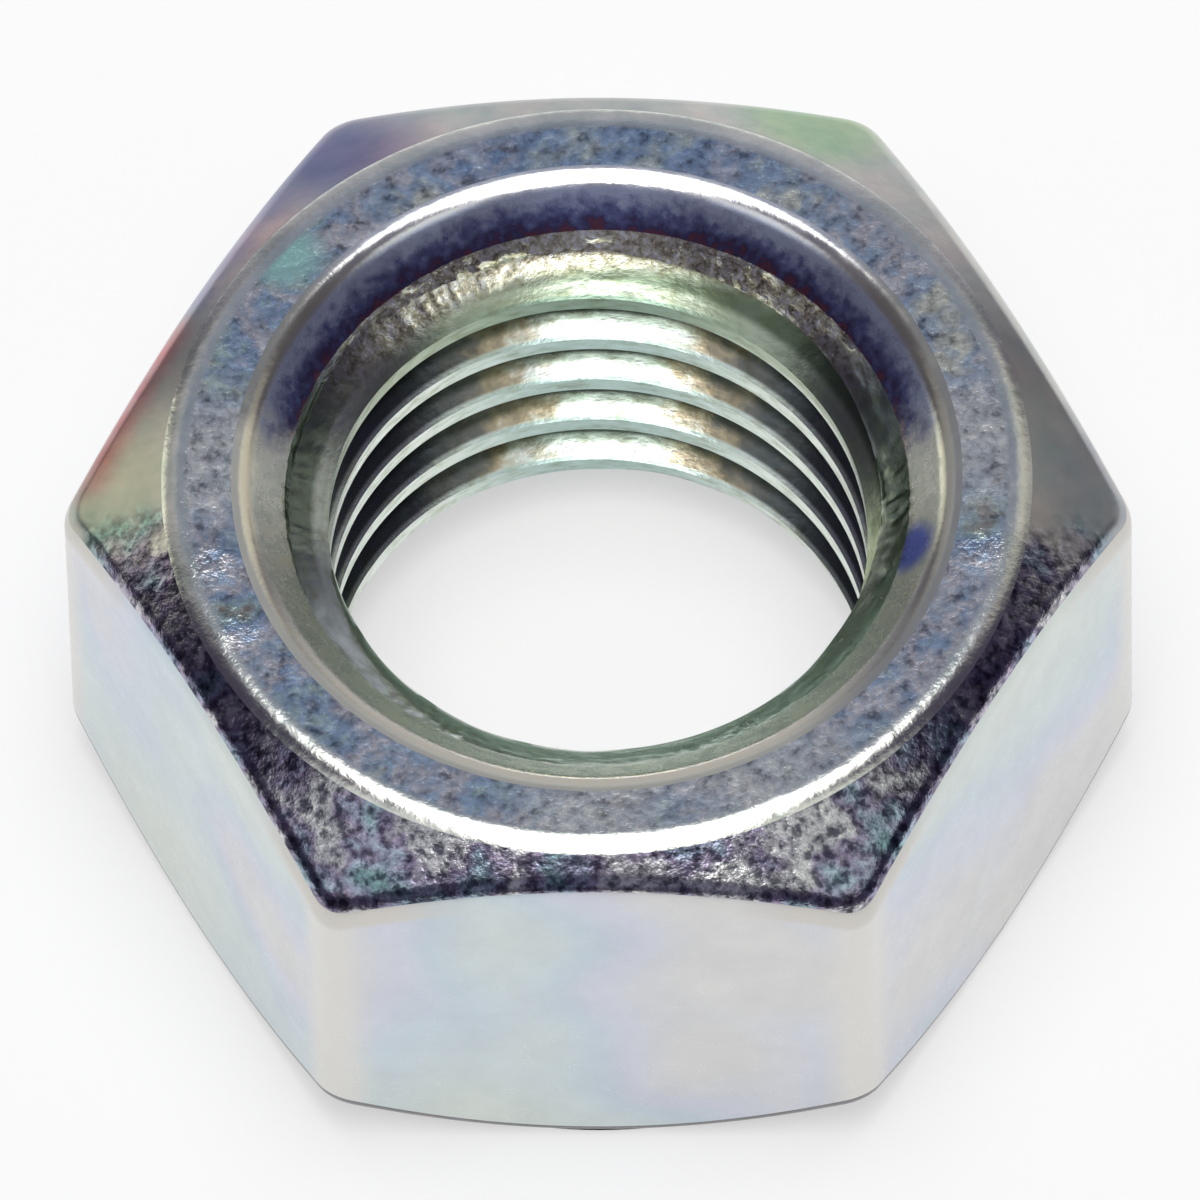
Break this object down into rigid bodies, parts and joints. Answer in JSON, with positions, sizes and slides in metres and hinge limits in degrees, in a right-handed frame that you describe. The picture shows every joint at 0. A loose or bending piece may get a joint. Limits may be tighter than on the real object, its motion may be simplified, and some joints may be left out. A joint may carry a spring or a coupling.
{
  "type": "hex nut",
  "caption": "Hexagonal nut with chamfered corners, rounded bearing rims, countersunk bore mouths and a right-hand internal thread, bright zinc plated.",
  "frame": {"origin": "centre of the bottom bearing face, on the thread's axis", "axes": "+Z along the thread's axis towards the top bearing face, +X towards a corner of the hexagon, +Y square to a wrench flat"},
  "size_m": [0.0274, 0.024, 0.013],
  "materials": {
    "zinc_plate": "bright zinc plate with a clear blue passivate"
  },
  "bodies": {
    "root": {"nut_body": "zinc_plate"}
  },
  "joints": []
}
